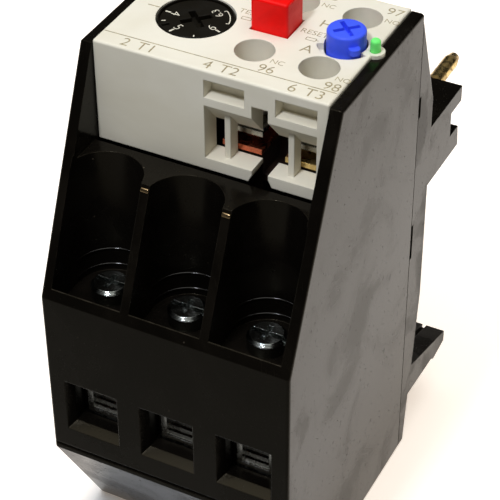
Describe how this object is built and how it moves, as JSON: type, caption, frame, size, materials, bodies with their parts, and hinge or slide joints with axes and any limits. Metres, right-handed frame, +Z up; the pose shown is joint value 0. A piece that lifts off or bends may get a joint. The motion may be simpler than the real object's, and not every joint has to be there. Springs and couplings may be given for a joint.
{
  "type": "thermal overload relay",
  "caption": "Plug-on thermal overload relay with box clamps, setting dial, test and reset keys, and a bimetal release that moves its auxiliary contacts.",
  "frame": {"origin": "on the underside, at the middle of the casing", "axes": "+X across the poles to the right, +Y from the wire entries to the contactor side, +Z up to the operating face"},
  "size_m": [0.055, 0.1051, 0.125],
  "materials": {
    "black_plastic": "glossy black moulding",
    "white_plastic": "satin off-white moulding",
    "pin_brass": "turned, silver-tarnished brass",
    "copper": "bare copper",
    "bimetal": "rolled bimetal",
    "heater_alloy": "resistance ribbon",
    "plated_steel": "bright zinc plate",
    "aux_brass": "stamped brass",
    "brown_plastic": "dark thermoset moulding",
    "pale_plastic": "natural moulding",
    "dial_plastic": "black moulding",
    "red_plastic": "red moulding",
    "blue_plastic": "blue moulding",
    "green_plastic": "green moulding",
    "spring_steel": "spring wire"
  },
  "bodies": {
    "casing": {"front_housing": "black_plastic", "rear_cover": "black_plastic", "top_cover": "white_plastic", "carrier_frame": "brown_plastic", "compensation_pin": "plated_steel", "trip_pin": "plated_steel", "contact_pin_1": "pin_brass", "busbar_1": "copper", "bimetal_strip_1": "bimetal", "heater_winding_1": "heater_alloy", "terminal_bar_1": "copper", "contact_pin_2": "pin_brass", "busbar_2": "copper", "bimetal_strip_2": "bimetal", "heater_winding_2": "heater_alloy", "terminal_bar_2": "copper", "contact_pin_3": "pin_brass", "busbar_3": "copper", "bimetal_strip_3": "bimetal", "heater_winding_3": "heater_alloy", "terminal_bar_3": "copper", "aux_terminal_95": "aux_brass", "aux_terminal_96": "aux_brass", "aux_terminal_97": "aux_brass", "aux_terminal_98": "aux_brass", "test_spring": "spring_steel", "reset_spring": "spring_steel"},
    "clamp_screw_1": {"terminal_screw_1": "plated_steel"},
    "clamp_1": {"clamp_cage_1": "plated_steel"},
    "clamp_screw_2": {"terminal_screw_2": "plated_steel"},
    "clamp_2": {"clamp_cage_2": "plated_steel"},
    "clamp_screw_3": {"terminal_screw_3": "plated_steel"},
    "clamp_3": {"clamp_cage_3": "plated_steel"},
    "aux_saddle_body_95": {"aux_saddle_95": "plated_steel"},
    "aux_screw_body_95": {"aux_screw_95": "plated_steel"},
    "aux_saddle_body_96": {"aux_saddle_96": "plated_steel"},
    "aux_screw_body_96": {"aux_screw_96": "plated_steel"},
    "aux_saddle_body_97": {"aux_saddle_97": "plated_steel"},
    "aux_screw_body_97": {"aux_screw_97": "plated_steel"},
    "aux_saddle_body_98": {"aux_saddle_98": "plated_steel"},
    "aux_screw_body_98": {"aux_screw_98": "plated_steel"},
    "dial": {"setting_dial": "dial_plastic", "setting_cam": "pale_plastic"},
    "test_key": {"test_button": "red_plastic"},
    "reset_key": {"reset_plunger": "blue_plastic"},
    "reset_selector": {"reset_knob": "blue_plastic"},
    "indicator": {"trip_indicator": "green_plastic"},
    "front_slide": {"trip_slide": "pale_plastic"},
    "rear_slide": {"return_slide": "pale_plastic"},
    "balance_lever": {"differential_lever": "pale_plastic"},
    "compensation": {"compensation_strip": "bimetal"},
    "release_lever": {"trip_lever": "pale_plastic"},
    "carriage": {"contact_carriage": "pale_plastic", "opening_bridge": "aux_brass", "closing_bridge": "aux_brass"}
  },
  "joints": [
    {"name": "clamp_1_lift", "type": "slide", "parent": "casing", "child": "clamp_1", "axis": [0, 0, 1], "range_m": [0, 0.004]},
    {"name": "clamp_screw_1_turn", "type": "hinge", "parent": "casing", "child": "clamp_screw_1", "pos_m": [-0.0175, -0.023, 0.067], "axis": [0, 0, 1], "range_deg": [-1802, 0]},
    {"name": "clamp_2_lift", "type": "slide", "parent": "casing", "child": "clamp_2", "axis": [0, 0, 1], "range_m": [0, 0.004]},
    {"name": "clamp_screw_2_turn", "type": "hinge", "parent": "casing", "child": "clamp_screw_2", "pos_m": [0, -0.023, 0.067], "axis": [0, 0, 1], "range_deg": [-1802, 0]},
    {"name": "clamp_3_lift", "type": "slide", "parent": "casing", "child": "clamp_3", "axis": [0, 0, 1], "range_m": [0, 0.004]},
    {"name": "clamp_screw_3_turn", "type": "hinge", "parent": "casing", "child": "clamp_screw_3", "pos_m": [0.0175, -0.023, 0.067], "axis": [0, 0, 1], "range_deg": [-1802, 0]},
    {"name": "aux_saddle_95_slide", "type": "slide", "parent": "casing", "child": "aux_saddle_body_95", "axis": [0, 0, 1], "range_m": [-0.0008, 0]},
    {"name": "aux_screw_95_turn", "type": "hinge", "parent": "aux_saddle_body_95", "child": "aux_screw_body_95", "pos_m": [0.0045, 0.0174, 0.104], "axis": [0, 0, 1], "range_deg": [-482, 0]},
    {"name": "aux_saddle_96_slide", "type": "slide", "parent": "casing", "child": "aux_saddle_body_96", "axis": [0, 0, 1], "range_m": [-0.0008, 0]},
    {"name": "aux_screw_96_turn", "type": "hinge", "parent": "aux_saddle_body_96", "child": "aux_screw_body_96", "pos_m": [0.0045, -0.0021, 0.104], "axis": [0, 0, 1], "range_deg": [-482, 0]},
    {"name": "aux_saddle_97_slide", "type": "slide", "parent": "casing", "child": "aux_saddle_body_97", "axis": [0, 0, 1], "range_m": [-0.0008, 0]},
    {"name": "aux_screw_97_turn", "type": "hinge", "parent": "aux_saddle_body_97", "child": "aux_screw_body_97", "pos_m": [0.0179, 0.0174, 0.104], "axis": [0, 0, 1], "range_deg": [-482, 0]},
    {"name": "aux_saddle_98_slide", "type": "slide", "parent": "casing", "child": "aux_saddle_body_98", "axis": [0, 0, 1], "range_m": [-0.0008, 0]},
    {"name": "aux_screw_98_turn", "type": "hinge", "parent": "aux_saddle_body_98", "child": "aux_screw_body_98", "pos_m": [0.0179, -0.0021, 0.104], "axis": [0, 0, 1], "range_deg": [-482, 0]},
    {"name": "dial_turn", "type": "hinge", "parent": "casing", "child": "dial", "pos_m": [-0.011, 0.0035, 0.1175], "axis": [0, 0, 1], "range_deg": [-270, 0]},
    {"name": "test_press", "type": "slide", "parent": "casing", "child": "test_key", "axis": [0, 0, -1], "range_m": [0, 0.0022], "stiffness_N_per_m": 300, "deforming": ["test_spring"]},
    {"name": "reset_press", "type": "slide", "parent": "casing", "child": "reset_key", "axis": [0, 0, -1], "range_m": [0, 0.0015], "stiffness_N_per_m": 300, "deforming": ["reset_spring"]},
    {"name": "reset_selector_turn", "type": "hinge", "parent": "reset_key", "child": "reset_selector", "pos_m": [0.0189, 0.00765, 0.1213], "axis": [0, 0, 1], "range_deg": [-90, 0]},
    {"name": "trip_travel", "type": "slide", "parent": "casing", "child": "front_slide", "axis": [1, 0, 0], "range_m": [0, 0.0024]},
    {"name": "return_travel", "type": "slide", "parent": "casing", "child": "rear_slide", "axis": [1, 0, 0], "range_m": [0, 0.0024]},
    {"name": "balance_turn", "type": "hinge", "parent": "front_slide", "child": "balance_lever", "pos_m": [-0.0146, 0.0007, 0.0809], "axis": [0, 1, 0], "range_deg": [0, 2]},
    {"name": "compensation_turn", "type": "hinge", "parent": "casing", "child": "compensation", "pos_m": [-0.0123, 0.003, 0.1], "axis": [0, 1, 0], "range_deg": [-12, 0]},
    {"name": "release_turn", "type": "hinge", "parent": "casing", "child": "release_lever", "pos_m": [-0.00935, 0.006, 0.0966], "axis": [0, 1, 0], "range_deg": [-20, 0]},
    {"name": "carriage_travel", "type": "slide", "parent": "casing", "child": "carriage", "axis": [1, 0, 0], "range_m": [0, 0.0026]},
    {"name": "indicator_rise", "type": "slide", "parent": "casing", "child": "indicator", "axis": [0, 0, 1], "range_m": [0, 0.002]}
  ],
  "couplings": [
    {"joint": "clamp_screw_1_turn", "follows": "clamp_1_lift", "rad_per_m": -7854},
    {"joint": "clamp_screw_2_turn", "follows": "clamp_2_lift", "rad_per_m": -7854},
    {"joint": "clamp_screw_3_turn", "follows": "clamp_3_lift", "rad_per_m": -7854},
    {"joint": "aux_screw_95_turn", "follows": "aux_saddle_95_slide", "rad_per_m": 10472},
    {"joint": "aux_screw_96_turn", "follows": "aux_saddle_96_slide", "rad_per_m": 10472},
    {"joint": "aux_screw_97_turn", "follows": "aux_saddle_97_slide", "rad_per_m": 10472},
    {"joint": "aux_screw_98_turn", "follows": "aux_saddle_98_slide", "rad_per_m": 10472},
    {"joint": "return_travel", "follows": "trip_travel", "ratio": 1},
    {"joint": "compensation_turn", "follows": "trip_travel", "rad_per_m": -80},
    {"joint": "release_turn", "follows": "trip_travel", "rad_per_m": -133},
    {"joint": "carriage_travel", "follows": "trip_travel", "ratio": 1.0417},
    {"joint": "indicator_rise", "follows": "trip_travel", "ratio": 0.83}
  ]
}
